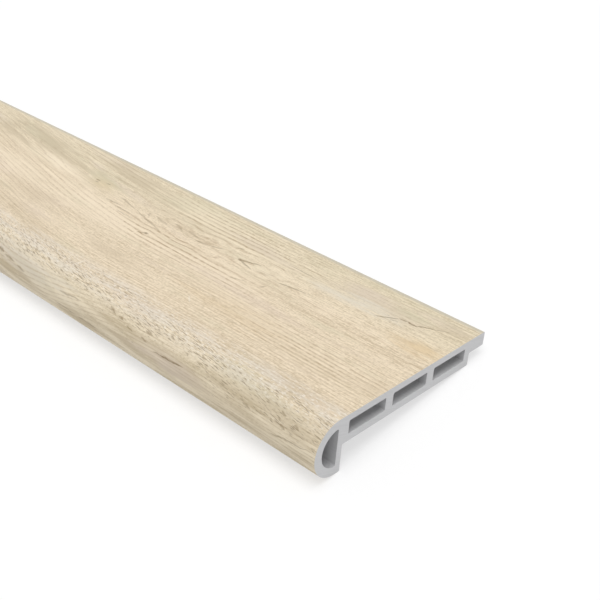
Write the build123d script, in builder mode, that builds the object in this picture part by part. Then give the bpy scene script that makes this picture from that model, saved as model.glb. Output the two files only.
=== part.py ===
from build123d import *

import os
from math import atan2, cos, degrees, radians, sin

# Overlap stair nosing: one length of extruded hollow rigid vinyl, lying top face up on a floor.
# The section is drawn in its own axes: across from the front of the round nose to the end of
# the rear ledge, and up from the flat underside that sits on the stair. It is then tipped back
# until the lip and the rear heel both touch the floor, which is how the loose length lies.

# Overall sizes, in millimetres
length = 2400.0  # the length that such trim is sold in
depth = 115.0  # front of the nose to the end of the rear ledge

# Rear ledge, which laps over the edge of the floor planks
plank_gap = 6.5  # height from the underside to the ledge, for a plank of that thickness
ledge_thickness = 7.0
ledge_depth = 11.0

# Front lip, which hangs over the edge of the stair
lip_drop = 13.5  # how far the lip hangs below the underside
lip_depth = 16.5  # front of the nose to the back face of the lip
lip_wall = 3.1  # wall between the nose hollow and the back face of the lip
nose_wall = 4.3  # wall round the front of the nose hollow

# Walls round the row of flat chambers
chamber_count = 3
top_wall = 3.3
bottom_wall = 3.7
heel_wall = 4.0  # behind the last chamber
front_web = 3.2  # from the back face of the lip to the first chamber
rib = 4.9  # between two chambers

# Corner radii left by the extrusion die
top_arris = 0.8  # eased rear edge of the show face
outer_corner = 0.5  # other outside corners
inner_corner = 0.4  # inside corners under the ledge and behind the lip
chamber_corner = 0.6
hollow_corner = 0.7

# Heights and places that follow from them
body_thickness = plank_gap + ledge_thickness
nose_radius = (body_thickness + lip_drop) / 2
nose_centre = (nose_radius, (body_thickness - lip_drop) / 2)
heel = depth - ledge_depth
chamber_front = lip_depth + front_web
chamber_back = heel - heel_wall
chamber_width = (chamber_back - chamber_front - (chamber_count - 1) * rib) / chamber_count
chamber_height = body_thickness - top_wall - bottom_wall
chamber_centre = ((chamber_front + chamber_back) / 2, bottom_wall + chamber_height / 2)
hollow_back = lip_depth - lip_wall

# The lip and the heel have the same corner radius, so the floor runs parallel to the line between them
rest_tilt = degrees(atan2(lip_drop, heel - lip_depth))

# Solid outline: flat top, rear ledge, underside and lip, closed by the half-round nose
with BuildSketch() as outline:
    with BuildLine():
        FilletPolyline(
            (nose_radius, body_thickness),
            (depth, body_thickness),
            (depth, plank_gap),
            (heel, plank_gap),
            (heel, 0),
            (lip_depth, 0),
            (lip_depth, -lip_drop),
            (nose_radius, -lip_drop),
            radius=(top_arris, outer_corner, inner_corner, outer_corner, inner_corner, outer_corner),
        )
        CenterArc(nose_centre, nose_radius, 90, 180)
    make_face()

# Hollow of the nose: a disc concentric with the nose, cut off flat behind by the wall of the lip
with BuildSketch() as nose_hollow:
    with Locations(nose_centre):
        Circle(nose_radius - nose_wall)
    split(bisect_by=Plane((hollow_back, 0, 0), z_dir=(-1, 0, 0)))
    fillet(nose_hollow.vertices(), hollow_corner)

# Row of flat chambers between the top wall and the underside
with BuildSketch() as chambers:
    with Locations(chamber_centre):
        with GridLocations(chamber_width + rib, 0, chamber_count, 1):
            RectangleRounded(chamber_width, chamber_height, chamber_corner)

with BuildSketch() as section:
    add(outline.sketch)
    add(nose_hollow.sketch, mode=Mode.SUBTRACT)
    add(chambers.sketch, mode=Mode.SUBTRACT)

# Tipped back onto the floor, with the origin midway along and across, at floor level
lying = section.sketch.rotate(Axis.Z, -rest_tilt).bounding_box()
saw_cut = Plane(
    origin=(-length / 2, -lying.center().X, -lying.min.Y),
    x_dir=(0, cos(radians(rest_tilt)), -sin(radians(rest_tilt))),
    z_dir=(1, 0, 0),
)
with BuildPart() as stair_nosing:
    with BuildSketch(saw_cut):
        add(section.sketch)
    extrude(amount=length)
stair_nosing.part.label = "stair_nosing"

os.makedirs("parts", exist_ok=True)
export_step(stair_nosing.part, "parts/stair_nosing.step")
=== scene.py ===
import logging
import math
from collections.abc import Sequence
from dataclasses import dataclass, field
from enum import Enum
from itertools import accumulate, chain, pairwise

import bpy
from bpy.types import ID, Material, Mesh, Node, NodeOutputs, NodeSocket, NodeTree, Object
from mathutils import Euler, Matrix, Vector


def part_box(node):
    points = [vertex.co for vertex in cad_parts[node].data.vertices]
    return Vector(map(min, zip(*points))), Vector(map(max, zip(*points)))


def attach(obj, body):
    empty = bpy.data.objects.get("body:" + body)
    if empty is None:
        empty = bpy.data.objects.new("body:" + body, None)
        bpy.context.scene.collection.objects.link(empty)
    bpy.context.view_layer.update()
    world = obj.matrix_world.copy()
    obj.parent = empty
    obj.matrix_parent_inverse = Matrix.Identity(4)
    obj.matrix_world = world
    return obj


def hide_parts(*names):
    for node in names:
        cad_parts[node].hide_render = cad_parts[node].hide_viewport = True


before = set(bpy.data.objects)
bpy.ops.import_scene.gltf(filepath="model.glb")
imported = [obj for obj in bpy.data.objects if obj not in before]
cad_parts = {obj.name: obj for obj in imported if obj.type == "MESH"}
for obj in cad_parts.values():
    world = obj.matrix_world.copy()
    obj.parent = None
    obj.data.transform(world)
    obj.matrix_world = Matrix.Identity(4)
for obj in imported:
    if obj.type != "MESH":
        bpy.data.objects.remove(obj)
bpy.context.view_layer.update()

log = logging.getLogger("stair_nosing")

MM = 0.001
NODE = "stair_nosing"
PIECE = "oak_print_nosing"
PRINT_MAP = "print"
WHITE = (1.0, 1.0, 1.0, 1.0)
NUMBER_SUMS = ("LENGTH", "DISTANCE", "DOT_PRODUCT")

Feed = NodeSocket | float | Sequence[float]
Feeds = dict[str | int, Feed]
Colour = tuple[float, float, float, float]
Pair = tuple[float, float]
Band = tuple[float, float, float, float]


def shade(*levels: int) -> Colour:
    """Turn a colour as a screen shows it into the linear colour that a shader takes.

    Args:
        levels: Red, green and blue from 0 to 255.

    Returns:
        The linear colour, with full alpha.
    """
    parts = [level / 255 for level in levels]
    linear = [part / 12.92 if part <= 0.04045 else ((part + 0.055) / 1.055) ** 2.4 for part in parts]
    return linear[0], linear[1], linear[2], 1.0


def polar(radius: float, angle: float) -> Vector:
    """A point at a distance and an angle from the middle."""
    return radius * Vector((math.cos(angle), math.sin(angle)))


class Surface(Enum):
    """The three finishes on the one piece, by the number that the extrusion stores on each face."""

    PRINTED = 0
    EXTRUDED = 1
    SAWN = 2

    @property
    def label(self) -> str:
        """Its name among the extrusion's inputs."""
        return self.name.title()


class Tint(Enum):
    """Tones that a soft patch of the print can lean towards."""

    LIMED = shade(228, 218, 203)
    PALE = shade(247, 231, 205)
    BROWN = shade(197, 179, 151)
    AMBER = shade(222, 196, 155)
    ROSE = shade(222, 204, 186)
    MOSS = shade(209, 200, 170)


@dataclass(frozen=True)
class Corner:
    """One rounded corner, in millimetres back from the nose and up from the underside."""

    across: float
    up: float
    radius: float

    @property
    def place(self) -> Vector:
        """The sharp corner's place."""
        return Vector((self.across, self.up))


@dataclass(frozen=True)
class Section:
    """The extruded section, in millimetres, with the same sizes as the solid.

    Beyond those sizes, shoulder is the short flat kept beside each round to hold the shading flat, and
    facet is the largest turn between two points of a round, in degrees.
    """

    depth: float = 115.0
    plank_gap: float = 6.5
    ledge_thickness: float = 7.0
    ledge_depth: float = 11.0
    lip_drop: float = 13.5
    lip_depth: float = 16.5
    lip_wall: float = 3.1
    nose_wall: float = 4.3
    chamber_count: int = 3
    top_wall: float = 3.3
    bottom_wall: float = 3.7
    heel_wall: float = 4.0
    front_web: float = 3.2
    rib: float = 4.9
    top_arris: float = 0.8
    outer_corner: float = 0.5
    inner_corner: float = 0.4
    chamber_corner: float = 0.6
    hollow_corner: float = 0.7
    shoulder: float = 0.3
    facet: float = 4.0
    chamber_facet: float = 15.0

    @property
    def body_thickness(self) -> float:
        """Height of the body above its underside."""
        return self.plank_gap + self.ledge_thickness

    @property
    def nose_radius(self) -> float:
        """Radius of the half-round nose."""
        return (self.body_thickness + self.lip_drop) / 2

    @property
    def heel(self) -> float:
        """Distance from the nose to the rear face under the ledge."""
        return self.depth - self.ledge_depth

    @property
    def tilt(self) -> float:
        """Angle at which the loose length lies on its lip and heel, in radians."""
        return math.atan2(self.lip_drop, self.heel - self.lip_depth)

    def rounded(self, corners: Sequence[Corner], facet: float) -> list[list[Vector]]:
        """Round every corner of a closed outline, with a shoulder before and after it.

        Args:
            corners: The corners in order, with the solid on the left.
            facet: Largest turn between two points of a round, in degrees.

        Returns:
            The points of each corner, in order.
        """
        rounds = []
        for before, corner, after in zip((corners[-1], *corners), corners, (*corners[1:], corners[0])):
            back = (before.place - corner.place).normalized()
            ahead = (after.place - corner.place).normalized()
            half = back.angle(ahead) / 2
            centre = corner.place + (back + ahead).normalized() * (corner.radius / math.sin(half))
            spoke = corner.place + back * (corner.radius / math.tan(half)) - centre
            turn = math.pi - 2 * half
            if back.x * ahead.y - back.y * ahead.x > 0:
                turn = -turn
            steps = max(4, math.ceil(math.degrees(abs(turn)) / facet))
            points = [centre + Matrix.Rotation(turn * step / steps, 2) @ spoke for step in range(steps + 1)]
            rounds.append([points[0] + back * self.shoulder, *points, points[-1] + ahead * self.shoulder])
        return rounds

    def outside(self) -> tuple[list[Vector], int]:
        """The outer loop, from the rear edge of the top face forward and round.

        Returns:
            The points, and how many of them, from the first, the print covers.
        """
        top, foot = self.body_thickness, -self.lip_drop
        corners = (
            Corner(self.depth, top, self.top_arris),
            Corner(0, top, self.nose_radius),
            Corner(0, foot, self.nose_radius),
            Corner(self.lip_depth, foot, self.outer_corner),
            Corner(self.lip_depth, 0, self.inner_corner),
            Corner(self.heel, 0, self.outer_corner),
            Corner(self.heel, self.plank_gap, self.inner_corner),
            Corner(self.depth, self.plank_gap, self.outer_corner),
        )
        arris, upper_nose, lower_nose, lip_foot, *bare = self.rounded(corners, self.facet)
        printed = [*arris[1:], *upper_nose[:-1], *lower_nose[2:], *lip_foot[:2]]
        return [*printed, *lip_foot[2:], *chain(*bare), arris[0]], len(printed)

    def nose_hollow(self) -> list[Vector]:
        """The loop of the hollow inside the nose, a disc cut off flat at its back.

        Returns:
            The points, clockwise, because the solid is outside them.
        """
        radius = self.nose_radius - self.nose_wall
        small = self.hollow_corner
        centre = Vector((self.nose_radius, (self.body_thickness - self.lip_drop) / 2))
        across = self.lip_depth - self.lip_wall - small - centre.x
        up = math.sqrt((radius - small) ** 2 - across**2)
        meet = math.atan2(up, across)
        corner_steps, disc_steps = 6, 40
        corner = Vector((across, up))
        upper = [corner + polar(small, meet * step / corner_steps) for step in range(corner_steps + 1)]
        sweep = 2 * (math.pi - meet)
        disc = [polar(radius, meet + sweep * step / disc_steps) for step in range(1, disc_steps)]
        lower = [Vector((place.x, -place.y)) for place in reversed(upper)]
        return [centre + place for place in reversed([*upper, *disc, *lower])]

    def chambers(self) -> list[list[Vector]]:
        """The loops of the flat chambers.

        Returns:
            One loop for each chamber, clockwise, because the solid is outside them.
        """
        front = self.lip_depth + self.front_web
        span = self.heel - self.heel_wall - front
        width = (span - (self.chamber_count - 1) * self.rib) / self.chamber_count
        low, high = self.bottom_wall, self.body_thickness - self.top_wall
        loops = []
        for number in range(self.chamber_count):
            near = front + number * (width + self.rib)
            far = near + width
            places = ((near, low), (near, high), (far, high), (far, low))
            corners = [Corner(*place, self.chamber_corner) for place in places]
            loops.append([*chain(*self.rounded(corners, self.chamber_facet))])
        return loops

    def drawing(self) -> Mesh:
        """Draw every loop as edges in one flat mesh, with the girth and the print stored on its points.

        Returns:
            The mesh, in metres, with the girth measured round the outside from the rear edge of the top.
        """
        outer, covered = self.outside()
        loops = [outer, self.nose_hollow(), *self.chambers()]
        places = [*chain(*loops)]
        edges = []
        for loop in loops:
            first = len(edges)
            edges += [(first + index, first + (index + 1) % len(loop)) for index in range(len(loop))]
        mesh = bpy.data.meshes.new("section_drawing")
        mesh.from_pydata([(*(place * MM), 0.0) for place in places], edges, [])
        steps = [(after - before).length for before, after in pairwise(outer)]
        girth = [value * MM for value in accumulate(steps, initial=self.top_arris * (1 - math.pi / 2))]
        stored = {"girth": girth, "printed": [1.0] * covered}
        for name, values in stored.items():
            values += [0.0] * (len(places) - len(values))
            mesh.attributes.new(name, "FLOAT", "POINT").data.foreach_set("value", values)
        return mesh


@dataclass
class NodeBench:
    """Writes nodes into one shader or geometry tree and links them."""

    tree: NodeTree

    def add(self, kind: str, **settings: object) -> Node:
        """Add one node.

        Args:
            kind: The node's type name.
            settings: Properties to set on it.

        Returns:
            The node.
        """
        node = self.tree.nodes.new(kind)
        for name, value in settings.items():
            setattr(node, name, value)
        return node

    def feed(self, socket: NodeSocket, value: Feed) -> None:
        """Link a socket to another socket, or set it to a plain value.

        Args:
            socket: The input to feed.
            value: What it gets.
        """
        if isinstance(value, NodeSocket):
            self.tree.links.new(value, socket)
        else:
            socket.default_value = value

    def dress(self, node: Node, feeds: Feeds) -> Node:
        """Feed a node's inputs.

        Args:
            node: The node.
            feeds: What each input gets, by its name or number.

        Returns:
            The node.
        """
        for key, value in feeds.items():
            self.feed(node.inputs[key], value)
        return node

    def wire(self, kind: str, feeds: Feeds, **settings: object) -> NodeSocket:
        """Add one node, feed its inputs and give its first output."""
        return self.dress(self.add(kind, **settings), feeds).outputs[0]

    def group(self, tree: NodeTree, **feeds: Feed) -> NodeOutputs:
        """Place a node group, feed its inputs by name and give its outputs."""
        return self.wire("ShaderNodeGroup", feeds, node_tree=tree).node.outputs

    def sum(self, operation: str, *values: Feed) -> NodeSocket:
        """Do a sum on plain numbers."""
        return self.wire("ShaderNodeMath", dict(enumerate(values)), operation=operation)

    def times(self, first: Feed, second: Feed) -> NodeSocket:
        """Multiply two numbers."""
        return self.sum("MULTIPLY", first, second)

    def vector_sum(self, operation: str, *values: Feed) -> NodeSocket:
        """Do a sum on vectors, which gives a vector or a number."""
        vector = self.wire("ShaderNodeVectorMath", dict(enumerate(values)), operation=operation)
        return vector.node.outputs["Value"] if operation in NUMBER_SUMS else vector

    def scaled(self, vector: Feed, factor: Feed) -> NodeSocket:
        """Make a vector longer or shorter by a factor."""
        feeds = {"Vector": vector, "Scale": factor}
        return self.wire("ShaderNodeVectorMath", feeds, operation="SCALE")

    def parts(self, vector: Feed) -> NodeOutputs:
        """Take a vector apart into X, Y and Z."""
        return self.wire("ShaderNodeSeparateXYZ", {"Vector": vector}).node.outputs

    def point(self, x: Feed = 0.0, y: Feed = 0.0, z: Feed = 0.0) -> NodeSocket:
        """Put a vector together."""
        return self.wire("ShaderNodeCombineXYZ", {"X": x, "Y": y, "Z": z})

    def rise(self, value: Feed, low: Feed, high: Feed) -> NodeSocket:
        """Rise smoothly from 0 at one value to 1 at another."""
        feeds = {"Value": value, "From Min": low, "From Max": high}
        return self.wire("ShaderNodeMapRange", feeds, interpolation_type="SMOOTHSTEP", clamp=False)

    def window(self, value: Feed, start: float, full: float, fade: float, end: float) -> NodeSocket:
        """A soft window that rises from start to full and falls from fade to end."""
        return self.sum("SUBTRACT", self.rise(value, start, full), self.rise(value, fade, end))

    def ease(self, value: Feed, low: float, high: float) -> NodeSocket:
        """Spread a value from 0 to 1 over a new range."""
        feeds = {"Value": value, "To Min": low, "To Max": high}
        return self.wire("ShaderNodeMapRange", feeds, clamp=False)

    def blend(self, share: Feed, first: Feed, second: Feed, how: str = "MIX") -> NodeSocket:
        """Mix a share of the second colour into the first."""
        feeds = {0: share, 6: first, 7: second}
        return self.wire("ShaderNodeMix", feeds, data_type="RGBA", blend_type=how).node.outputs[2]

    def closed(self, **outputs: Feed) -> NodeTree:
        """Feed a group's outputs by name, and give its tree."""
        self.dress(self.add("NodeGroupOutput"), outputs)
        return self.tree


class Effects:
    """Node groups that the finishes share, each built once."""

    def __init__(self) -> None:
        """Build every group."""
        self.streaks = self.build_streaks()
        self.oval = self.build_oval()
        self.stroke = self.build_stroke()
        self.handling = self.build_handling()

    def start(self, name: str, vectors: str, numbers: str, outputs: str) -> tuple[NodeBench, NodeOutputs]:
        """Start a shader group.

        Args:
            name: The group's name.
            vectors: Names of its vector inputs.
            numbers: Names of its number inputs.
            outputs: Names of its outputs, which are numbers.

        Returns:
            The bench, and what the group is given.
        """
        tree = bpy.data.node_groups.new(name, "ShaderNodeTree")
        kinds = (vectors, "INPUT", "Vector"), (numbers, "INPUT", "Float"), (outputs, "OUTPUT", "Float")
        for labels, way, kind in kinds:
            for label in labels.split():
                tree.interface.new_socket(label, in_out=way, socket_type=f"NodeSocket{kind}")
        bench = NodeBench(tree)
        return bench, bench.add("NodeGroupInput").outputs

    def build_streaks(self) -> NodeTree:
        """Noise drawn out along one direction, as in fibres, tone bands and die lines.

        Returns:
            The group.
        """
        bench, given = self.start("streaks", "Place", "Length Width Detail Seed", "Streak")
        stretch = bench.point(given["Length"], given["Width"], 1.0)
        drawn = bench.vector_sum("DIVIDE", given["Place"], stretch)
        seeded = bench.vector_sum("ADD", drawn, bench.point(z=given["Seed"]))
        feeds = {"Vector": seeded, "Scale": 1.0, "Detail": given["Detail"], "Roughness": 0.55}
        return bench.closed(Streak=bench.wire("ShaderNodeTexNoise", feeds))

    def build_oval(self) -> NodeTree:
        """A ragged oval: a soft patch, or a knot's dark core and its push on the growth lines.

        Returns:
            The group.
        """
        bench, given = self.start("ragged_oval", "Place Centre Size", "Ragged", "Patch Core Push")
        apart = bench.vector_sum("SUBTRACT", given["Place"], given["Centre"])
        far = bench.vector_sum("LENGTH", bench.vector_sum("DIVIDE", apart, given["Size"]))
        frayed = bench.sum("ADD", far, given["Ragged"])
        patch, core = bench.rise(frayed, 1.0, 0.0), bench.rise(frayed, 1.15, 0.25)
        pushed = bench.times(bench.parts(apart)["Y"], bench.rise(far, 5.0, 0.0))
        return bench.closed(Patch=patch, Core=core, Push=bench.times(pushed, -0.7))

    def build_stroke(self) -> NodeTree:
        """A thin dark stroke from one point to another, tapering to both ends.

        Returns:
            The group.
        """
        bench, given = self.start("grain_stroke", "Place Start Run", "Broken Squared Width", "Stroke")
        apart = bench.vector_sum("SUBTRACT", given["Place"], given["Start"])
        passed = bench.vector_sum("DOT_PRODUCT", apart, given["Run"])
        share = bench.sum("DIVIDE", passed, given["Squared"])
        off = bench.vector_sum("DISTANCE", apart, bench.scaled(given["Run"], share))
        taper = bench.times(bench.window(share, 0.0, 0.3, 0.55, 1.0), given["Width"])
        inked = bench.times(bench.rise(off, taper, 0.0), bench.rise(taper, 0.0, 0.15))
        return bench.closed(Stroke=bench.times(inked, given["Broken"]))

    def build_handling(self) -> NodeTree:
        """Faint smudges and specks that any handled length of trim picks up.

        Returns:
            The group.
        """
        bench, given = self.start("handling", "Place", "Size", "Smudge Speck")
        drawn = bench.scaled(given["Place"], given["Size"])
        smudge = bench.wire("ShaderNodeTexNoise", {"Vector": drawn, "Scale": 0.02, "Detail": 3.0})
        speck = bench.wire("ShaderNodeTexNoise", {"Vector": drawn, "Scale": 1.6, "Detail": 1.0})
        return bench.closed(Smudge=smudge, Speck=bench.rise(speck, 0.62, 0.72))


@dataclass(frozen=True)
class Streak:
    """Noise drawn out along the grain, with its sizes in millimetres.

    Attributes:
        length: Size along the grain.
        width: Size across it.
        seed: Which noise it is.
        detail: How many finer layers it has.
        spread: Its lowest and highest value.
        slant: How far it drifts across for each millimetre along.
    """

    length: float
    width: float
    seed: float
    detail: float = 2.0
    spread: Pair = (0.0, 1.0)
    slant: float = 0.0


@dataclass(frozen=True)
class Stroke:
    """A dark grain mark, with both its ends in millimetres along and across."""

    start: Pair
    end: Pair
    width: float
    depth: float = 0.7


@dataclass(frozen=True)
class Oval:
    """A knot or a soft stretch of the print, with its centre and half sizes in millimetres."""

    centre: Pair
    size: Pair
    strength: float = 1.0


@dataclass(frozen=True)
class Patch(Oval):
    """A soft stretch that leans towards another tone."""

    tint: Tint = Tint.BROWN


@dataclass(frozen=True)
class OakPrint:
    """The printed and embossed pale oak film, with sizes in millimetres along and across."""

    pale: Colour = shade(243, 226, 199)
    middle: Colour = shade(229, 212, 185)
    tan: Colour = shade(207, 189, 159)
    line: Colour = shade(184, 160, 128)
    pore: Colour = shade(160, 142, 117)
    # Pale colour of the glints, which are partly lime and partly painted highlights, and of the pale
    # scratch.
    glint: Colour = shade(247, 239, 227)
    mark: Colour = shade(124, 102, 68)
    # Painted shade: a greyer, darker band over the rounded rear edge, where it turns from the light.
    edge: Colour = shade(198, 191, 173)
    rear_cast: Colour = shade(252, 255, 254)
    # Painted shade: darkens and slightly cools the front and underside of the nose, where it turns from the
    # light.
    nose_shade_cast: Colour = shade(249, 252, 252)
    roughness: Pair = (0.42, 0.66)
    emboss: float = 0.12
    roller_turn: float = 800.0
    roller_start: float = -60.0
    ring_spacing: float = 3.9
    ring_slope: float = 0.02
    ring_crowding: Pair = (0.0024, 0.00096)
    crowded_run: Pair = (90, 220)
    heart: float = 37.5
    heart_width: float = 5.0
    heart_reach: Pair = (16, 3)
    roaming_run: Pair = (380, 760)
    arch_run: Pair = (110, 460)
    arch_rise: float = 8.0
    sweep_run: Pair = (150, 480)
    sweep: float = 42.0
    # Where the painted shade of the rear edge starts and where it is full, in millimetres from the rear
    # edge.
    edge_shade_band: Pair = (3.8, 1.4)
    rear_band: Pair = (46, 16)
    # Where the painted shade on the nose fades in, in millimetres from the rear edge.
    nose_shade_band: Pair = (94, 118)
    nose_band: Pair = (108, 118)
    limed_band: Band = (91, 99, 105, 114)
    fleck_band: Band = (96, 107, 115, 121)
    fleck_stray: float = 5.0
    fleck_stray_run: Pair = (50, 120)
    pore_level: Pair = (0.7, 0.4)
    pore_edge: float = 0.13
    middle_tone: Pair = (-0.15, 0.6)
    tan_tone: Pair = (0.5, 1.3)
    fraying: Streak = Streak(22, 2.4, 3.7, 3, (-0.9, 0.9))
    wavering: Streak = Streak(5, 4, 4.3, 2, (-1, 1))
    breaking: Streak = Streak(2.6, 1.2, 6.9, 1, (0.5, 1.5))
    splintering: Streak = Streak(2.2, 1.1, 8.1, 2, (-0.9, 0.9))
    roaming: Streak = Streak(420, 900, 5, 2, (-26, 26))
    ring_drift: Streak = Streak(170, 30, 1, 1, (-3, 3))
    ring_ripple: Streak = Streak(20, 6, 2, 1, (-5, 5))
    line_show: Streak = Streak(150, 14, 7, 1)
    line_break: Streak = Streak(2.6, 1.2, 6, 1, (-0.8, 2.8))
    fibre: Streak = Streak(26, 1, 21)
    fine_fibre: Streak = Streak(7, 0.68, 22)
    crumbs: Streak = Streak(1.4, 0.8, 23, 2, (-1.3, 1.3))
    long_fibre: Streak = Streak(50, 1.5, 24, 1, (-1.2, 1.2))
    nose_fibre: Streak = Streak(45, 5, 13, 1.5, (-2.4, 2.8), 0.07)
    tone_band: Streak = Streak(200, 13, 11, 2, (-0.1, 1.1))
    fading: Streak = Streak(220, 30, 15, 1)
    cast: Streak = Streak(70, 14, 14, 1)
    lime: Streak = Streak(30, 3.4, 12)
    lime_and_glint_grains: Streak = Streak(2.2, 0.6, 33, 1, slant=0.12)
    pores: Streak = Streak(4, 0.5, 31, 1, slant=0.12)
    pore_crowds: Streak = Streak(30, 5, 32, 1)
    calm: Oval = Oval((285, 35), (130, 75))
    lined: tuple[Oval, ...] = (
        Oval((140, 18), (85, 28), 0.8),
        Oval((148, 53), (95, 18), 0.9),
        Oval((42, 75), (68, 20), 0.75),
        Oval((145, 101), (55, 9), 0.55),
        Oval((520, 40), (150, 40)),
    )
    crack: tuple[Stroke, ...] = (
        Stroke((43.5, 28.4), (31, 20.9), 0.6, 0.75),
        Stroke((33.5, 21.9), (27.5, 20.3), 0.8, 0.85),
        Stroke((29.5, 20.5), (22, 20.9), 0.8, 0.85),
        Stroke((25, 20.9), (14.5, 16.2), 0.65, 0.8),
        Stroke((17, 17), (8, 12.6), 0.45, 0.6),
        Stroke((36, 25.6), (31, 23.6), 0.45, 0.45),
    )
    fork: tuple[Stroke, ...] = (
        Stroke((221, 43.3), (204, 42.8), 1.0, 0.42),
        Stroke((216.5, 36), (197, 39.8), 1.2, 0.45),
        Stroke((200, 39.2), (166, 48.6), 1.0, 0.38),
        Stroke((211, 45.2), (192, 45.8), 0.9, 0.45),
        Stroke((206, 48), (188, 49), 0.8, 0.35),
        Stroke((188, 43.2), (177, 45.4), 1.0, 0.45),
        Stroke((178, 57), (171, 53.2), 0.8, 0.6),
    )
    swirls: tuple[Stroke, ...] = (
        Stroke((190.5, 36.6), (187, 41), 1.2, 0.3),
        Stroke((186, 36.8), (172, 40), 1.4, 0.34),
        Stroke((173, 34.4), (162, 38.4), 1.4, 0.28),
        Stroke((163, 34.8), (149, 38), 1.5, 0.28),
        Stroke((152, 40.2), (141, 38.6), 1.2, 0.5),
        Stroke((143, 38.8), (133, 35.2), 1.0, 0.45),
        Stroke((132, 29.6), (127, 27.2), 0.9, 0.4),
    )
    arrow: tuple[Stroke, ...] = (
        Stroke((122, 37.2), (108, 33.4), 1.0, 0.65),
        Stroke((122, 37), (109, 41), 0.9, 0.55),
        Stroke((109, 37.6), (97, 36.6), 0.8, 0.2),
        Stroke((109, 38.8), (97, 40.4), 0.8, 0.2),
        Stroke((104, 22), (79, 22.9), 0.7, 0.4),
        Stroke((96, 40.4), (72, 36.4), 0.9, 0.5),
        Stroke((95.4, 50.6), (93.6, 46.4), 0.8, 0.45),
        Stroke((113, 54.2), (102, 50.2), 0.6, 0.5),
    )
    slivers: tuple[Stroke, ...] = (
        Stroke((217.5, 115), (211, 116.2), 1.4, 0.6),
        Stroke((211.5, 116.4), (201, 117.8), 1.0, 0.55),
        Stroke((200.5, 118.6), (192, 119.2), 1.0, 0.45),
        Stroke((166, 117.8), (147, 116.4), 0.9, 0.45),
        Stroke((170, 124.4), (150, 125.4), 0.8, 0.45),
        Stroke((152, 125.8), (134, 125.6), 0.8, 0.5),
        Stroke((131, 111.6), (125, 113.4), 1.0, 0.5),
        Stroke((123.5, 113.2), (119, 114.2), 1.1, 0.5),
        Stroke((117, 115), (111, 116), 0.9, 0.4),
        Stroke((105.5, 112.2), (99.5, 113.4), 1.1, 0.5),
        Stroke((106.5, 116), (101, 117), 0.9, 0.5),
        Stroke((97.5, 119), (86, 118.7), 0.5, 0.55),
        Stroke((93, 118.7), (75.5, 117.8), 0.8, 0.75),
        Stroke((42, 117.4), (36, 117.9), 1.0, 0.45),
        Stroke((23, 111.4), (19, 112.8), 0.9, 0.45),
        Stroke((21, 116.4), (17, 117.8), 1.0, 0.5),
        Stroke((14.5, 113.6), (10.5, 114.9), 0.9, 0.45),
        Stroke((27, 122.6), (1, 119.4), 0.6, 0.5),
    )
    further_on: tuple[Stroke, ...] = (
        Stroke((455, 71), (428, 66), 0.9, 0.6),
        Stroke((520, 22), (494, 26.5), 0.8),
        Stroke((610, 52), (584, 48), 0.9, 0.5),
        Stroke((704, 85), (672, 80), 0.8, 0.6),
    )
    scratch: Stroke = Stroke((111, 80.5), (105.2, 85), 0.5, 0.6)
    knots: tuple[Oval, ...] = (
        Oval((242, 31.2), (2.4, 0.7), 0.65),
        Oval((233.5, 30.2), (2.6, 0.6), 0.6),
        Oval((240.5, 33.2), (2.2, 0.7), 0.4),
        Oval((120.6, 37.1), (2.6, 1.1), 0.8),
        Oval((173, 54.3), (2, 1.2), 0.7),
        Oval((102, 38.6), (4, 1.6), 0.12),
        Oval((563, 59), (2.4, 1.3), 0.7),
    )
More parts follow.
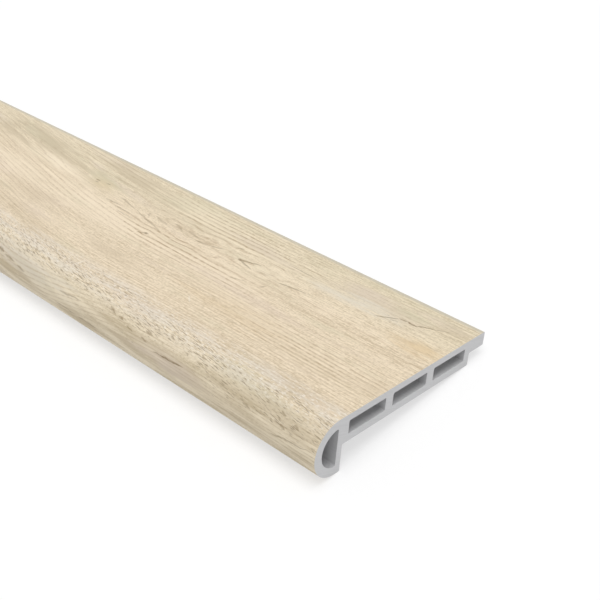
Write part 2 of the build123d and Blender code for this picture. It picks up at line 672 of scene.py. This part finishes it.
    patches: tuple[Patch, ...] = (
        Patch((45, 5), (75, 6), 0.3, Tint.MOSS),
        Patch((8, 12), (16, 8), 0.45, Tint.BROWN),
        Patch((52, 18), (60, 16), 0.2, Tint.BROWN),
        Patch((57, 14.5), (22, 8), 0.6, Tint.ROSE),
        Patch((52, 24), (24, 8), 0.75, Tint.LIMED),
        Patch((74, 26.5), (18, 5), 0.6, Tint.LIMED),
        Patch((30, 15), (14, 7), 0.5, Tint.MOSS),
        Patch((9, 36), (26, 9), 0.5, Tint.AMBER),
        Patch((10.5, 34), (11, 5), 0.4, Tint.AMBER),
        Patch((240, 29), (28, 13), 0.6, Tint.MOSS),
        Patch((236, 33), (18, 8), 0.35, Tint.AMBER),
        Patch((258, 19), (12, 4), 0.5, Tint.ROSE),
        Patch((166, 37), (32, 5), 0.3, Tint.BROWN),
        Patch((190, 28), (75, 6), 0.25, Tint.BROWN),
        Patch((228, 13), (55, 12), 0.6, Tint.BROWN),
        Patch((306, 19), (85, 13), 0.65, Tint.BROWN),
        Patch((338, 25), (42, 9), 0.7, Tint.BROWN),
        Patch((128, 4), (24, 5), 0.5, Tint.PALE),
        Patch((100, 36), (22, 6), 0.5, Tint.PALE),
        Patch((168, 12), (40, 9), 0.4, Tint.PALE),
        Patch((272, 33.5), (36, 6.5), 0.9, Tint.PALE),
        Patch((288, 54), (62, 11), 0.7, Tint.PALE),
        Patch((208, 54), (75, 15), 0.6, Tint.PALE),
        Patch((118, 52), (50, 16), 0.45, Tint.PALE),
        Patch((246, 72), (50, 10), 0.45, Tint.BROWN),
        Patch((208, 97), (36, 6), 0.4, Tint.BROWN),
        Patch((26, 99), (44, 7), 0.45, Tint.BROWN),
        Patch((236, 86), (50, 8), 0.35, Tint.BROWN),
        Patch((168, 81), (36, 8), 0.4, Tint.BROWN),
        Patch((86, 76), (44, 10), 0.25, Tint.AMBER),
        Patch((4, 74), (16, 10), 0.35, Tint.BROWN),
        # Partly the print's brown band and partly painted shade where the nose turns down.
        Patch((100, 118), (60, 4), 0.25, Tint.BROWN),
        Patch((22, 112), (58, 10), 0.5, Tint.BROWN),
        Patch((86, 121), (38, 5), 0.8, Tint.ROSE),
        Patch((194, 115), (52, 9), 0.6, Tint.LIMED),
        Patch((200, 117), (40, 7), 0.3, Tint.ROSE),
        Patch((8, 122), (40, 4), 0.8, Tint.PALE),
        Patch((10, 116), (24, 3), 0.5, Tint.BROWN),
        Patch((166, 123), (34, 4), 0.7, Tint.PALE),
        Patch((62, 121.5), (40, 4), 0.35, Tint.BROWN),
    )

    def along_grain(self, place: Pair) -> tuple[float, float, float]:
        """Measure a place along the grain, which sweeps towards the rear edge further on.

        Args:
            place: Millimetres along and across.

        Returns:
            The place, with its distance across taken from where the grain started.
        """
        start, end = self.sweep_run
        share = min(max((place[0] - start) / (end - start), 0.0), 1.0)
        return place[0], place[1] + self.sweep * share * share * (3.0 - 2.0 * share), 0.0

    def material(self, effects: Effects) -> Material:
        """Make the film's material.

        Args:
            effects: The shared groups.

        Returns:
            The material, which reads the print map.
        """
        material, bench, shader = new_material("oak_print_film")
        place = bench.scaled(bench.add("ShaderNodeUVMap", uv_map=PRINT_MAP).outputs["UV"], 1 / MM)
        parts = bench.parts(place)
        again = bench.sum("WRAP", parts["X"], self.roller_start + self.roller_turn, self.roller_start)
        figure = OakPrintNodes(bench.tree, self, effects, place, bench.point(again, parts["Y"]))
        colour, height = figure.draw()
        smudge = bench.group(effects.handling, Place=place, Size=1.0)["Smudge"]
        feeds = {"Strength": 0.6, "Distance": self.emboss * MM, "Height": height}
        look = {"Base Color": colour, "Roughness": bench.ease(smudge, *self.roughness)}
        look |= {"Specular IOR Level": 0.35, "Normal": bench.wire("ShaderNodeBump", feeds)}
        bench.dress(shader, look)
        return material


@dataclass
class OakPrintNodes(NodeBench):
    """Draws the oak figure for one film material.

    Attributes:
        finish: The film's colours, sizes and marks.
        effects: The shared groups.
        place: Millimetres along from the near end and across from the rear edge.
        turned: The same, started again with each turn of the printing roller.
        grain: The place, measured along the grain.
        ragged: Noise that frays the soft ovals.
        wandering: The turned place, measured along the grain and frayed.
        wavered: The turned place, shaken a little for the strokes.
        broken: Noise that breaks the strokes up.
        splintered: Noise that frays the knots.
    """

    finish: OakPrint
    effects: Effects
    place: NodeSocket
    turned: NodeSocket
    grain: NodeSocket = field(init=False)
    ragged: NodeSocket = field(init=False)
    wandering: NodeSocket = field(init=False)
    wavered: NodeSocket = field(init=False)
    broken: NodeSocket = field(init=False)
    splintered: NodeSocket = field(init=False)

    def __post_init__(self) -> None:
        """Measure along the grain, and make the noise that the ovals and the marks share."""
        finish, turned = self.finish, self.swept(self.turned)
        self.grain = self.swept(self.place)
        self.ragged = self.streak(finish.fraying, turned)
        self.wandering = self.shifted(turned, self.ragged)
        self.wavered = self.shifted(self.turned, self.streak(finish.wavering, self.turned))
        self.broken = self.streak(finish.breaking, self.turned)
        self.splintered = self.streak(finish.splintering, self.turned)

    def shifted(self, place: NodeSocket, across: NodeSocket) -> NodeSocket:
        """Shift a place across the grain."""
        return self.vector_sum("ADD", place, self.point(y=across))

    def swept(self, place: NodeSocket) -> NodeSocket:
        """Measure a place along the grain, as the film's own along_grain does."""
        share = self.rise(self.parts(place)["X"], *self.finish.sweep_run)
        return self.shifted(place, self.times(share, self.finish.sweep))

    def streak(self, streak: Streak, place: NodeSocket | None = None) -> NodeSocket:
        """Noise drawn out along the grain.

        Args:
            streak: Its sizes and its spread.
            place: Where it is read, if not along the grain.

        Returns:
            The noise.
        """
        place = place or self.grain
        if streak.slant:
            place = self.shifted(place, self.times(self.parts(place)["X"], streak.slant))
        feeds = {"Length": streak.length, "Width": streak.width, "Detail": streak.detail}
        noise = self.group(self.effects.streaks, Place=place, Seed=streak.seed, **feeds)[0]
        return self.ease(noise, *streak.spread)

    def oval(self, oval: Oval) -> NodeSocket:
        """The mask of a soft oval with a ragged edge.

        Args:
            oval: Where it lies and how strong it is.

        Returns:
            Its mask.
        """
        feeds = {"Centre": self.finish.along_grain(oval.centre), "Size": (*oval.size, 1)}
        made = self.group(self.effects.oval, Place=self.wandering, Ragged=self.ragged, **feeds)
        return self.times(made["Patch"], oval.strength)

    def stroke(self, stroke: Stroke) -> NodeSocket:
        """The mask of one grain mark.

        Args:
            stroke: Where it runs and how strong it is.

        Returns:
            Its mask.
        """
        start = Vector((*stroke.start, 0))
        run = Vector((*stroke.end, 0)) - start
        feeds = {"Start": start, "Run": run, "Squared": run.length_squared, "Width": stroke.width}
        made = self.group(self.effects.stroke, Place=self.wavered, Broken=self.broken, **feeds)
        return self.times(made["Stroke"], stroke.depth)

    def marks(self) -> tuple[NodeSocket, NodeSocket]:
        """The knots and the dark grain marks, laid over each other.

        Returns:
            How dark they are, and how far the knots push the growth lines aside.
        """
        finish = self.finish
        dark: Feed = 0.0
        push: Feed = 0.0
        for knot in finish.knots:
            feeds = {"Centre": (*knot.centre, 0), "Size": (*knot.size, 1)}
            made = self.group(self.effects.oval, Place=self.turned, Ragged=self.splintered, **feeds)
            dark = self.sum("MAXIMUM", dark, self.times(made["Core"], knot.strength))
            push = self.sum("ADD", push, made["Push"])
        runs = finish.crack, finish.fork, finish.swirls, finish.arrow, finish.slivers, finish.further_on
        for stroke in chain(*runs):
            dark = self.sum("MAXIMUM", dark, self.stroke(stroke))
        return dark, push

    def draw(self) -> tuple[NodeSocket, NodeSocket]:
        """Draw the whole figure.

        Returns:
            The colour, and the height of the embossing from 0 to 1.
        """
        finish = self.finish
        parts = self.parts(self.place)
        along, across = parts["X"], parts["Y"]
        marks, push = self.marks()
        lines = self.growth_lines(self.growth_wave(along, self.parts(self.grain)["Y"], push))
        stray = self.rise(along, *finish.fleck_stray_run)
        strayed = self.sum("MULTIPLY_ADD", stray, finish.fleck_stray, across)
        flecks = self.flecks(self.window(strayed, *finish.fleck_band))
        limed = self.window(across, *finish.limed_band)
        fibre, fine = self.streak(finish.fibre), self.streak(finish.fine_fibre)
        colour = self.ground(across, fibre, fine, limed)
        colour = self.blend(lines, colour, finish.line)
        # Pale glints between the pores: partly lime, partly painted highlights of the embossing.
        colour = self.blend(self.glints(limed), colour, finish.glint)
        colour = self.blend(self.times(flecks, 0.8), colour, finish.pore)
        # The rear tint is the print's own tone; the nose one is painted shade over the front and underside
        # of the nose.
        tints_and_shade_casts = (finish.rear_band, finish.rear_cast), (finish.nose_shade_band, finish.nose_shade_cast)
        for band, cast in tints_and_shade_casts:
            colour = self.blend(self.rise(across, *band), colour, cast, "MULTIPLY")
        colour = self.blend(marks, colour, finish.mark)
        colour = self.blend(self.stroke(finish.scratch), colour, finish.glint)
        # Painted shade over the rounded rear edge.
        edge = self.rise(across, *finish.edge_shade_band)
        colour = self.blend(self.times(edge, 0.85), colour, finish.edge)
        ridged = self.sum("MULTIPLY_ADD", fibre, 0.25, self.times(fine, 0.3))
        return colour, self.sum("SUBTRACT", self.sum("ADD", ridged, 0.5), flecks)

    def growth_wave(self, along: Feed, across: Feed, push: Feed) -> NodeSocket:
        """Growth rings that run along, arch over the heart of the board and flow round the knots.

        Args:
            along: Millimetres from the near end.
            across: Millimetres across, measured along the grain.
            push: How far the knots push the rings.

        Returns:
            A wave from 0 between two rings to 1 on a ring.
        """
        finish = self.finish
        wander = self.times(self.streak(finish.roaming), self.rise(along, *finish.roaming_run))
        off_heart = self.sum("SUBTRACT", self.sum("SUBTRACT", across, finish.heart), wander)
        near_heart = self.rise(self.sum("ABSOLUTE", off_heart), *finish.heart_reach)
        squared = self.sum("MULTIPLY_ADD", off_heart, off_heart, finish.heart_width**2)
        ring = self.sum("MULTIPLY_ADD", along, finish.ring_slope, self.sum("SQRT", squared))
        ring = self.sum("MULTIPLY_ADD", self.rise(along, *finish.arch_run), finish.arch_rise, ring)
        ring = self.sum("ADD", ring, self.streak(finish.ring_drift))
        ripple = self.streak(finish.ring_ripple)
        ring = self.sum("MULTIPLY_ADD", ripple, self.ease(near_heart, 0.2, 1.0), ring)
        ring = self.sum("DIVIDE", self.sum("ADD", ring, push), finish.ring_spacing)
        crowding = self.ease(self.rise(along, *finish.crowded_run), *finish.ring_crowding)
        crowded = self.sum("MULTIPLY_ADD", squared, crowding, ring)
        return self.times(self.sum("PINGPONG", crowded, 0.5), 2.0)

    def growth_lines(self, wave: Feed) -> NodeSocket:
        """Dark lines on the growth rings, broken all along and clear where the film says.

        Args:
            wave: The growth rings.

        Returns:
            How dark the line is, from 0 to 1.
        """
        finish = self.finish
        shown = self.ease(self.rise(self.streak(finish.line_show), 0.38, 0.6), 0.08, 0.35)
        for lined in finish.lined:
            shown = self.sum("MAXIMUM", shown, self.oval(lined))
        shown = self.times(shown, self.streak(finish.line_break))
        return self.times(self.rise(wave, 0.5, 1.0), shown)

    def flecks(self, flecked: Feed) -> NodeSocket:
        """Short dark pores, thick along the shoulder of the nose and sparse elsewhere.

        Args:
            flecked: Where they are thick.

        Returns:
            Their mask.
        """
        finish = self.finish
        crowded = self.times(flecked, self.streak(finish.pore_crowds))
        level = self.ease(crowded, *finish.pore_level)
        return self.rise(self.streak(finish.pores), level, self.sum("ADD", level, finish.pore_edge))

    def glints(self, limed: Feed) -> NodeSocket:
        """Pale flecks between the pores where the board is limed: partly lime, partly painted highlights.
        """
        grains = self.rise(self.streak(self.finish.lime_and_glint_grains), 0.52, 0.68)
        return self.times(grains, self.times(limed, 0.6))

    def ground(self, across: Feed, fibre: Feed, fine: Feed, limed: Feed) -> NodeSocket:
        """The board's own colour under its lines and marks.

        Args:
            across: Millimetres from the rear edge.
            fibre: Fibre noise.
            fine: Finer fibre noise.
            limed: Where the board is limed.

        Returns:
            The colour.
        """
        finish = self.finish
        nosed = self.rise(across, *finish.nose_band)
        faded = self.rise(self.streak(finish.fading), 0.55, 0.7)
        calm = self.sum("MAXIMUM", self.oval(finish.calm), faded)
        lively = self.ease(self.sum("MAXIMUM", calm, nosed), 1.15, 0.4)
        fine_tone = self.sum("ADD", self.ease(fine, -1.5, 1.5), self.streak(finish.crumbs))
        tone = self.sum("ADD", self.streak(finish.tone_band), self.ease(fibre, -0.6, 0.6))
        long_tone, nose_tone = self.streak(finish.long_fibre), self.streak(finish.nose_fibre)
        for part, share in ((fine_tone, lively), (long_tone, calm), (nose_tone, nosed)):
            tone = self.sum("MULTIPLY_ADD", part, share, tone)
        colour = self.blend(self.rise(tone, *finish.middle_tone), finish.pale, finish.middle)
        colour = self.blend(self.rise(tone, *finish.tan_tone), colour, finish.tan)
        cast = self.streak(finish.cast)
        for tint, low, high in ((Tint.ROSE, 0.55, 0.75), (Tint.MOSS, 0.45, 0.25)):
            colour = self.blend(self.times(self.rise(cast, low, high), 0.4), colour, tint.value)
        for patch in finish.patches:
            colour = self.blend(self.oval(patch), colour, patch.tint.value)
        patchy = self.ease(self.rise(self.streak(finish.lime), 0.38, 0.64), 0.0, 0.6)
        return self.blend(self.times(limed, patchy), colour, Tint.LIMED.value)


@dataclass(frozen=True)
class BareVinyl:
    """Bare grey vinyl, as it leaves the die or as the saw leaves it, with sizes in millimetres."""

    name: str
    base: Colour = shade(207, 207, 208)
    worn: Colour = shade(196, 196, 197)
    roughness: Pair = (0.38, 0.52)
    line_length: float = 400.0
    line_width: float = 0.8
    turn: tuple[float, float, float] = (0.0, 0.0, 0.0)
    relief: float = 0.03

    def material(self, effects: Effects) -> Material:
        """Make the material.

        Args:
            effects: The shared groups.

        Returns:
            The material, which reads the piece's own coordinates.
        """
        material, bench, shader = new_material(self.name)
        source = bench.add("ShaderNodeTexCoord").outputs["Object"]
        feeds = {"Vector": source, "Rotation": self.turn, "Scale": (1 / MM,) * 3}
        place = bench.wire("ShaderNodeMapping", feeds)
        feeds = {"Length": self.line_length, "Width": self.line_width, "Detail": 2.0, "Seed": 0.0}
        drawn = bench.group(effects.streaks, Place=place, **feeds)[0]
        handled = bench.group(effects.handling, Place=place, Size=2.0)
        smudge = handled["Smudge"]
        tone = bench.sum("MULTIPLY_ADD", drawn, 0.6, bench.times(smudge, 0.4))
        colour = bench.blend(bench.rise(tone, 0.35, 0.75), self.base, self.worn)
        colour = bench.blend(bench.times(handled["Speck"], 0.25), colour, self.worn)
        feeds = {"Strength": 0.4, "Distance": self.relief * MM, "Height": drawn}
        look = {"Base Color": colour, "Roughness": bench.ease(smudge, *self.roughness)}
        look |= {"Specular IOR Level": 0.4, "Normal": bench.wire("ShaderNodeBump", feeds)}
        bench.dress(shader, look)
        return material


def new_material(name: str) -> tuple[Material, NodeBench, Node]:
    """Start a material.

    Args:
        name: Its name.

    Returns:
        The material, a bench on its tree, and its Principled shader.
    """
    material = bpy.data.materials.new(name)
    material.use_nodes = True
    return material, NodeBench(material.node_tree), material.node_tree.nodes["Principled BSDF"]


def new_object(name: str, data: ID) -> Object:
    """Put a new object into the scene.

    Args:
        name: Its name.
        data: Its mesh, lamp or camera.

    Returns:
        The object.
    """
    thing = bpy.data.objects.new(name, data)
    bpy.context.scene.collection.objects.link(thing)
    return thing


@dataclass
class ExtrusionTree(NodeBench):
    """Geometry nodes that pull a drawn section out to a length and cap both ends.

    Attributes:
        steps: How many stretches the length is divided into.
        crease: Edges that turn more than this stay sharp, in degrees.
        weld: Points nearer than this are joined, in metres.
        sockets: Identifiers of the tree's inputs, by name.
        given: The tree's inputs.
    """

    steps: int = 4
    crease: float = 30.0
    weld: float = 1e-6
    sockets: dict[str, str] = field(default_factory=dict)
    tree: NodeTree = field(init=False)
    given: NodeOutputs = field(init=False)

    def __post_init__(self) -> None:
        """Start the tree with its named inputs."""
        self.tree = bpy.data.node_groups.new("pull_section", "GeometryNodeTree")
        face = self.tree.interface
        kinds = {"Section": "Geometry", "Length": "Float", "Steps": "Int"}
        kinds |= {surface.label: "Material" for surface in Surface}
        for name, kind in kinds.items():
            socket = face.new_socket(name, in_out="INPUT", socket_type=f"NodeSocket{kind}")
            self.sockets[name] = socket.identifier
        face.new_socket("Piece", in_out="OUTPUT", socket_type="NodeSocketGeometry")
        self.given = self.add("NodeGroupInput").outputs

    def build(self) -> NodeTree:
        """Build the tree.

        Returns:
            The tree, which takes the drawn section and gives the piece.
        """
        profile = self.wire("GeometryNodeMeshToCurve", {"Mesh": self.given["Section"]})
        joined = self.add("GeometryNodeJoinGeometry")
        for part in (self.walls(profile), *self.ends(profile)):
            self.feed(joined.inputs[0], part)
        feeds = {"Geometry": joined.outputs[0], "Distance": self.weld}
        welded = self.wire("GeometryNodeMergeByDistance", feeds)
        smooth = self.wire("GeometryNodeSetShadeSmooth", {"Geometry": welded, "Shade Smooth": True})
        angle = self.add("GeometryNodeInputMeshEdgeAngle").outputs["Unsigned Angle"]
        sharp = self.sum("GREATER_THAN", angle, math.radians(self.crease))
        feeds = {"Geometry": smooth, "Selection": sharp, "Shade Smooth": False}
        creased = self.wire("GeometryNodeSetShadeSmooth", feeds, domain="EDGE")
        piece = self.wire("GeometryNodeRealizeInstances", {"Geometry": creased})
        stored = self.stored("surface", "INT")
        for surface in Surface:
            chosen = self.sum("GREATER_THAN", stored, surface.value - 0.5)
            feeds = {"Geometry": piece, "Selection": chosen, "Material": self.given[surface.label]}
            piece = self.wire("GeometryNodeSetMaterial", feeds)
        return self.closed(Piece=piece)

    def stored(self, name: str, kind: str) -> NodeSocket:
        """Read what is stored under a name."""
        return self.wire("GeometryNodeInputNamedAttribute", {"Name": name}, data_type=kind)

    def label(self, geometry: Feed, surface: Feed) -> NodeSocket:
        """Store each face's surface number."""
        feeds = {"Geometry": geometry, "Name": "surface", "Value": surface}
        return self.wire("GeometryNodeStoreNamedAttribute", feeds, data_type="INT", domain="FACE")

    def walls(self, profile: NodeSocket) -> NodeSocket:
        """Sweep the section's loops along the length, and lay the print map on them.

        Args:
            profile: The section's loops.

        Returns:
            The walls.
        """
        length = self.given["Length"]
        path = self.wire("GeometryNodeCurvePrimitiveLine", {"End": self.point(z=length)})
        count = self.sum("ADD", self.given["Steps"], 1.0)
        stepped = self.wire("GeometryNodeResampleCurve", {"Curve": path, "Count": count})
        walls = self.wire("GeometryNodeCurveToMesh", {"Curve": stepped, "Profile Curve": profile})
        height = self.parts(self.add("GeometryNodeInputPosition").outputs[0])["Z"]
        sheet = self.point(self.sum("SUBTRACT", length, height), self.stored("girth", "FLOAT"))
        feeds = {"Geometry": walls, "Name": PRINT_MAP, "Value": sheet}
        kind = {"data_type": "FLOAT2", "domain": "CORNER"}
        mapped = self.wire("GeometryNodeStoreNamedAttribute", feeds, **kind)
        return self.label(mapped, self.sum("LESS_THAN", self.stored("printed", "FLOAT"), 0.99))

    def ends(self, profile: NodeSocket) -> tuple[NodeSocket, NodeSocket]:
        """Fill the section at both ends, round its hollows.

        Args:
            profile: The section's loops.

        Returns:
            The near end and the far end.
        """
        filled = self.wire("GeometryNodeFillCurve", {"Curve": profile}, mode="TRIANGLES")
        sawn = self.label(filled, Surface.SAWN.value)
        feeds = {"Geometry": sawn, "Translation": self.point(z=self.given["Length"])}
        near = self.wire("GeometryNodeTransform", feeds)
        return near, self.wire("GeometryNodeFlipFaces", {"Mesh": sawn})


@dataclass
class StairNosing:
    """The one length of trim, standing for the solid of the same shape.

    Attributes:
        section: Its section.
        oak: The printed film.
        extruded: Bare vinyl as it leaves the die.
        sawn: Bare vinyl as the saw leaves it, paler than the extruded vinyl, partly from the cut and partly
            as painted light on the ends.
    """

    section: Section = field(default_factory=Section)
    oak: OakPrint = field(default_factory=OakPrint)
    extruded: BareVinyl = BareVinyl("extruded_vinyl")
    # The sawn ends are paler than the same vinyl in the chambers: partly the chalky cut, partly painted
    # light on the end faces.
    sawn: BareVinyl = BareVinyl(
        "sawn_vinyl",
        base=shade(221, 221, 222),
        worn=shade(211, 211, 212),
        roughness=(0.5, 0.65),
        line_length=60.0,
        line_width=0.5,
        turn=(0.0, math.pi / 2, math.radians(62)),
    )

    def lie_down(self, mesh: Mesh) -> None:
        """Tip the pulled length onto its lip and heel, with the origin midway along and across.

        Args:
            mesh: The pulled length, which is moved.
        """
        tilt = self.section.tilt
        across = Vector((0.0, math.cos(tilt), -math.sin(tilt)))
        up = Vector((0.0, math.sin(tilt), math.cos(tilt)))
        along = Vector((1.0, 0.0, 0.0))
        mesh.transform(Matrix((across, up, along)).transposed().to_4x4())
        spread = [[vertex.co[axis] for vertex in mesh.vertices] for axis in range(3)]
        middle = [(min(values) + max(values)) / 2 for values in spread]
        mesh.transform(Matrix.Translation((-middle[0], -middle[1], -min(spread[2]))))

    def build(self, effects: Effects) -> Object:
        """Pull the section out and lay it where the solid lies.

        Args:
            effects: The shared groups.

        Returns:
            The finished piece.
        """
        low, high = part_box(NODE)
        pulled = ExtrusionTree()
        drawing = new_object("section_drawing", self.section.drawing())
        modifier = drawing.modifiers.new("pull", "NODES")
        modifier.node_group = pulled.build()
        modifier[pulled.sockets["Length"]] = high[0] - low[0]
        modifier[pulled.sockets["Steps"]] = pulled.steps
        finishes = {Surface.PRINTED: self.oak, Surface.EXTRUDED: self.extruded, Surface.SAWN: self.sawn}
        for surface, finish in finishes.items():
            modifier[pulled.sockets[surface.label]] = finish.material(effects)
        evaluated = drawing.evaluated_get(bpy.context.evaluated_depsgraph_get())
        mesh = bpy.data.meshes.new_from_object(evaluated)
        mesh.name = PIECE
        drawn_on = drawing.data
        bpy.data.objects.remove(drawing)
        bpy.data.meshes.remove(drawn_on)
        for name in ("girth", "printed", "surface"):
            mesh.attributes.remove(mesh.attributes[name])
        self.lie_down(mesh)
        return new_object(PIECE, mesh)

    def place(self, piece: Object) -> None:
        """Tie the piece to the part's frame.

        Args:
            piece: The finished piece.
        """
        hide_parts(NODE)
        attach(piece, "root")


@dataclass(frozen=True)
class PhotoCamera:
    """The camera of the photograph, with its place in metres from the middle of the near end's foot.

    Attributes:
        place: Where it stands.
        azimuth: Which way it looks, in degrees.
        elevation: How far it looks down, in degrees.
        roll: How far it is turned about its view, in degrees.
        lens: Its focal length for the sensor's width, in millimetres.
        sensor: The sensor's width, in millimetres.
    """

    place: tuple[float, float, float] = (0.19730, -0.26669, 0.30265)
    azimuth: float = 44.013
    elevation: float = 36.024
    roll: float = -2.109
    lens: float = 62.04
    sensor: float = 36.0

    def build(self) -> None:
        """Set the camera up."""
        camera = new_object("photo_camera", bpy.data.cameras.new("photo_camera"))
        camera.data.lens = self.lens
        camera.data.sensor_width = self.sensor
        camera.data.clip_start = 0.01
        near_end = Vector((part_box(NODE)[1][0], 0.0, 0.0))
        look = Euler((math.radians(90 - self.elevation), 0.0, math.radians(self.azimuth))).to_matrix()
        spin = Matrix.Rotation(math.radians(self.roll), 3, "Z")
        camera.matrix_world = Matrix.Translation(near_end + Vector(self.place)) @ (look @ spin).to_4x4()
        bpy.context.scene.camera = camera


@dataclass(frozen=True)
class Studio:
    """A plain white floor under soft light.

    Attributes:
        floor_size: Side of the floor, in metres.
        floor_colour: How much of the light the floor sends back.
        floor_lift: Light that the floor adds for the camera, so that it shows white outside the shadow.
        floor_glow: Share of plain white in what the camera sees of the floor, which softens the shadow.
        sky: Strength of the even light from all round.
        key: Strength of the soft lamp.
        key_from: Direction towards the lamp.
        key_softness: How large the lamp looks, in degrees.
    """

    floor_size: float = 30.0
    floor_colour: Colour = (0.8, 0.8, 0.8, 1.0)
    floor_lift: float = 0.22
    floor_glow: float = 0.5
    sky: float = 0.5
    key: float = 1.6
    key_from: tuple[float, float, float] = (0.1, -0.1, 1.0)
    key_softness: float = 40.0

    def seen_directly(self, bench: NodeBench) -> NodeSocket:
        """A mask that is 1 for the camera and for what it sees in gloss or through glass.

        Args:
            bench: Where the nodes go.

        Returns:
            The mask.
        """
        rays = bench.add("ShaderNodeLightPath").outputs
        seen = bench.sum("MAXIMUM", rays["Is Glossy Ray"], rays["Is Transmission Ray"])
        return bench.sum("MAXIMUM", rays["Is Camera Ray"], seen)

    def floor(self) -> None:
        """Lay the floor, and mark it as stage."""
        half = self.floor_size / 2
        mesh = bpy.data.meshes.new("studio_floor")
        corners = [(-half, -half, 0.0), (half, -half, 0.0), (half, half, 0.0), (-half, half, 0.0)]
        mesh.from_pydata(corners, [], [(0, 1, 2, 3)])
        material, bench, shader = new_material("studio_floor")
        seen = self.seen_directly(bench)
        look = {"Base Color": self.floor_colour, "Roughness": 0.9, "Specular IOR Level": 0.0}
        look |= {"Emission Color": WHITE, "Emission Strength": bench.times(seen, self.floor_lift)}
        bench.dress(shader, look)
        glow = bench.add("ShaderNodeEmission").outputs[0]
        feeds = {0: bench.times(seen, self.floor_glow), 1: shader.outputs[0], 2: glow}
        mixed = bench.wire("ShaderNodeMixShader", feeds)
        bench.dress(material.node_tree.nodes["Material Output"], {"Surface": mixed})
        mesh.materials.append(material)
        new_object("studio_floor", mesh)

    def light(self) -> None:
        """Set the even light and the soft lamp."""
        world = bpy.data.worlds.new("studio")
        world.use_nodes = True
        bench = NodeBench(world.node_tree)
        strength = bench.ease(self.seen_directly(bench), self.sky, 1.0)
        bench.dress(world.node_tree.nodes["Background"], {"Color": WHITE, "Strength": strength})
        bpy.context.scene.world = world
        lamp = bpy.data.lights.new("soft_key", "SUN")
        lamp.energy = self.key
        lamp.angle = math.radians(self.key_softness)
        aim = Vector(self.key_from).to_track_quat("Z", "Y")
        new_object("soft_key", lamp).rotation_euler = aim.to_euler()

    def build(self) -> None:
        """Set up the floor, the light and the plain view."""
        self.floor()
        self.light()
        bpy.context.scene.view_settings.view_transform = "Standard"


def main() -> None:
    """Build the trim and its studio."""
    logging.basicConfig(level=logging.INFO, format="%(name)s: %(message)s")
    nosing = StairNosing()
    piece = nosing.build(Effects())
    nosing.place(piece)
    log.info("%s has %d faces", piece.name, len(piece.data.polygons))
    Studio().build()
    PhotoCamera().build()


if __name__ == "__main__":
    main()
